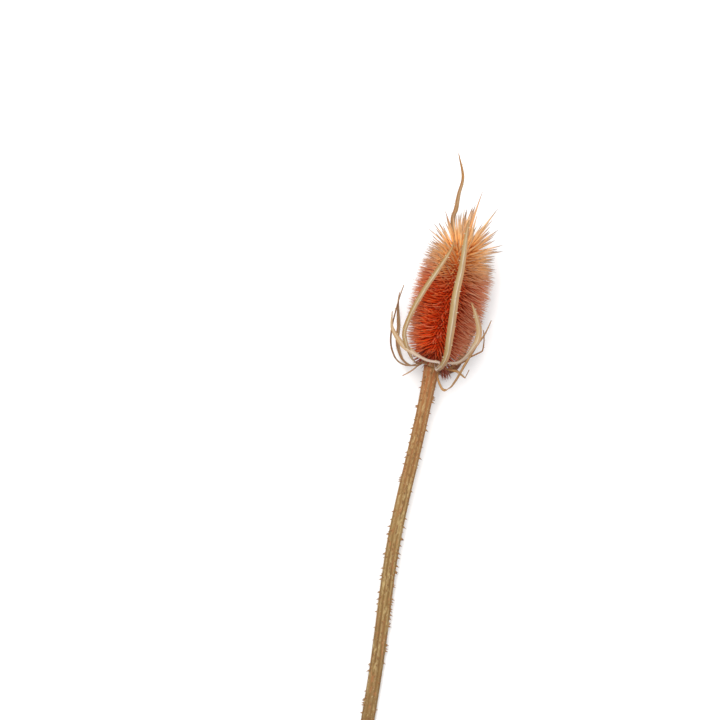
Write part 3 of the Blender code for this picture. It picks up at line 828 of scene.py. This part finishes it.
# Colours from foot to tip, with the crown hardly dyed at all. The bristles that face up and a little left are
# painted deeper red, as painted shade between their end-on tips. Those round the sides are painted paler and
# pinker, as painted light shining through them.
FACING_WAY = Vector((-0.35, 0, 0.94))
UPPER_STOPS = (
    (0.0, (0.66, 0.045, 0.004, 1)), (0.25, (0.84, 0.075, 0.007, 1)), (0.55, (0.78, 0.110, 0.015, 1)),
    (0.80, (0.76, 0.175, 0.040, 1)), (1.0, (0.78, 0.27, 0.095, 1)),
)
SIDE_LIT_THROUGH_STOPS = (
    (0.0, (0.30, 0.027, 0.005, 1)), (0.25, (0.48, 0.068, 0.019, 1)), (0.50, (0.58, 0.14, 0.055, 1)),
    (0.78, (0.62, 0.25, 0.13, 1)), (1.0, (0.64, 0.36, 0.24, 1)),
)
CROWN_STOPS = (
    (0.0, (0.90, 0.36, 0.085, 1)), (0.22, (0.92, 0.47, 0.150, 1)), (0.50, (0.82, 0.50, 0.23, 1)),
    (0.72, (0.60, 0.37, 0.21, 1)), (0.90, (0.20, 0.13, 0.090, 1)),
)
FADED = (0.72, 0.46, 0.28, 1)
DARKER = (0.34, 0.035, 0.007, 1)
LOWEST = (0.22, 0.026, 0.009, 1)

tree = KDTree(len(bract_points))
for i, (point, reach) in enumerate(bract_points):
    tree.insert(point, i)
tree.balance()


def spiral(count):
    """Places for that many bristles, even over the core's skin: distance along it and angle round it."""
    steps = 400
    area = [0.0]
    for k in range(steps):
        low, high = CORE_LENGTH * k / steps, CORE_LENGTH * (k + 1) / steps
        slant = sqrt((high - low) ** 2 + (core_radius(high) - core_radius(low)) ** 2)
        area.append(area[-1] + slant * (core_radius(low) + core_radius(high)))
    k = 0
    for i in range(count):
        wanted = area[-1] * (i + 0.5) / count
        while area[k + 1] < wanted:
            k += 1
        share = (wanted - area[k]) / (area[k + 1] - area[k])
        yield CORE_LENGTH * (k + share) / steps, i * GOLDEN_ANGLE


def bristle_path(foot, angle, lean, curl, length, sideways):
    """Points down a bristle from its foot's radius and height, with the ways across it and up at each."""
    outward = Vector((cos(angle), sin(angle), 0))
    around = Vector((-sin(angle), cos(angle), 0))
    point = outward * foot[0] + Vector((0, 0, foot[1]))
    path = []
    for k in range(BRISTLE_RINGS + 1):
        t = k / BRISTLE_RINGS
        tilt = lean + curl * (1.25 - 3 * t)
        ahead = outward * sin(tilt) + Vector((0, 0, cos(tilt))) + around * sideways * t
        ahead.normalize()
        if k == 0:
            point -= ahead * BRISTLE_SINK
        across = (around - ahead * around.dot(ahead)).normalized()
        path.append((point.copy(), across, across.cross(ahead)))
        point += ahead * (length + BRISTLE_SINK) / BRISTLE_RINGS
    return path


def is_clear(path):
    """Whether the bristle stays within the crown's outline and clear of every bract."""
    tip = path[-1][0]
    beyond = tip.z - CROWN_FOOT
    if beyond > 0 and sqrt(tip.x**2 + tip.y**2) > CROWN_RADIUS - CROWN_NARROWING * beyond:
        return False
    found = (tree.find(point) for point, across, up in path[2:])
    return all(distance > bract_points[i][1] + BRACT_CLEARANCE for place, i, distance in found)


bristles = bmesh.new()
along_layer = number_layer(bristles, "along")
tone_layer = number_layer(bristles, "tone")
height_layer = number_layer(bristles, "height")
facing_layer = number_layer(bristles, "facing")
spike = unit_spike(BRISTLE_SIDES, BRISTLE_RINGS)
draw = random.Random(BRISTLE_SEED)


def add_bristle(path, crown, tone, height, facing):
    """Adds a bristle along that path, thicker the further up the crown it stands."""
    foot = BRISTLE_FOOT * (1 + CROWN_THICKENING[0] * crown)
    foot_reach = FOOT_REACH[0] + FOOT_REACH[1] * crown**0.5
    needle = BRISTLE_NEEDLE * (1 + CROWN_THICKENING[1] * crown**0.7)

    def on_bristle(u, v, t):
        """A bristle's section: flat and keeled at its foot, and a round needle further out."""
        point, across, up = path[round(t * BRISTLE_RINGS)]
        wide = needle * (1 - t) ** 0.5 + foot * max(0.0, 1 - t / foot_reach) ** 1.6
        thick = needle * (1 - t) ** 0.5 + BRISTLE_KEEL * (1 - t)
        return in_row(point + across * u * wide + up * v * thick)

    values = ((along_layer, None), (tone_layer, tone), (height_layer, height), (facing_layer, facing))
    grow(bristles, spike, on_bristle, values)


for along, angle in spiral(BRISTLES):
    share = along / CORE_LENGTH
    crown = max(0.0, (share - CROWN_START) / (1 - CROWN_START)) ** CROWN_POWER
    body = BRISTLE_LENGTH[0] + (BRISTLE_LENGTH[1] - BRISTLE_LENGTH[0]) * min(1.0, LENGTH_RISE * share)
    extra = CROWN_EXTRA * crown * (LEAST_EXTRA + (1 - LEAST_EXTRA) * draw.random() ** EXTRA_POWER)
    length = (body + extra) * draw.uniform(*LENGTH_SPREAD)
    place = Vector((cos(angle), sin(angle), TUFT_HEIGHT * share)) * TUFT_SCALE * CORE_RADIUS
    # How far the bristle faces up and a little left. Below, it sets painted shade on the front bristles and
    # painted light through the side ones.
    facing = (HEAD.to_3x3() @ Vector((cos(angle), sin(angle), 0))).dot(FACING_WAY)
    upward = max(0.0, facing) ** 2
    lean = BRISTLE_LEAN * (1 - share ** LEAN_POWERS[0]) ** LEAN_POWERS[1]
    lean += SKIRT_LEAN * exp(-share * SKIRT_END) - FACING_LEAN * upward
    lean += TUFT_LEAN * noise.noise(place) + radians(draw.gauss(0, LEAN_SPREAD[0] + LEAN_SPREAD[1] * upward))
    curl = BRISTLE_CURL * (1 - share)
    sideways = TUFT_SIDEWAYS * noise.noise(place + TUFT_SHIFT)
    sideways += draw.gauss(0, SIDEWAYS_SPREAD[0] + SIDEWAYS_SPREAD[1] * upward)
    tone = draw.random()
    root = (core_radius(along), CORE_BASE + along)
    paths = (bristle_path(root, angle, lean, curl, length * part, sideways) for part in SHORTENED)
    path = next((path for path in paths if is_clear(path)), None)
    if not path:
        continue
    if draw.random() < CROWN_THINNING * crown**0.5:
        continue
    add_bristle(path, crown, tone, share, facing)

for k in range(HANGING_BRISTLES):
    root = (COLLAR_RADII[1] * draw.uniform(*HANGING_ROOTS), CORE_BASE)
    lean = radians(draw.uniform(*HANGING_LEANS))
    length = draw.uniform(*HANGING_LENGTHS)
    angle = radians(draw.uniform(*HANGING_ANGLES))
    path = bristle_path(root, angle, lean, 0.0, length, draw.gauss(0, HANGING_SPREAD))
    add_bristle(path, 0.0, draw.random(), 0.0, 0.0)

bristle_finish, shader, start = finish("dyed bristles", 0.5, 0.35)
share = start.attribute("along")
tone = start.attribute("tone")
height = start.attribute("height")
where = start.node("ShaderNodeTexCoord", output="Object")
cloud = where.noise(70, 2, 0.5)
facing = start.attribute("facing")
# Painted light and shade: deeper red where bristles face the front, paler and pinker at the sides where light
# would shine through.
painted_front_shade = (facing + (cloud - 0.5) * 0.35).between(0.58, 0.90)
body_colour = painted_front_shade.mixed(share.ramp(*SIDE_LIT_THROUGH_STOPS), share.ramp(*UPPER_STOPS))
in_crown = (height + facing.between(0.6, 1.0) * 0.08 + (cloud - 0.5) * 0.2).between(0.64, 0.88)
coloured = in_crown.mixed(body_colour, share.ramp(*CROWN_STOPS))
faded = (tone.between(0.72, 1.0) * share * 0.6).clamped()
coloured = faded.mixed(coloured, FADED)
darker = (tone.between(0.25, 0.0) * 0.35).clamped()
coloured = darker.mixed(coloured, DARKER)
coloured = (height.between(0.13, 0.03) * 0.85).mixed(coloured, LOWEST)
join(shader, "Base Color", coloured)
join(shader, "Roughness", 0.42 + tone * 0.2)
finished("head_bristles", bristles, bristle_finish)
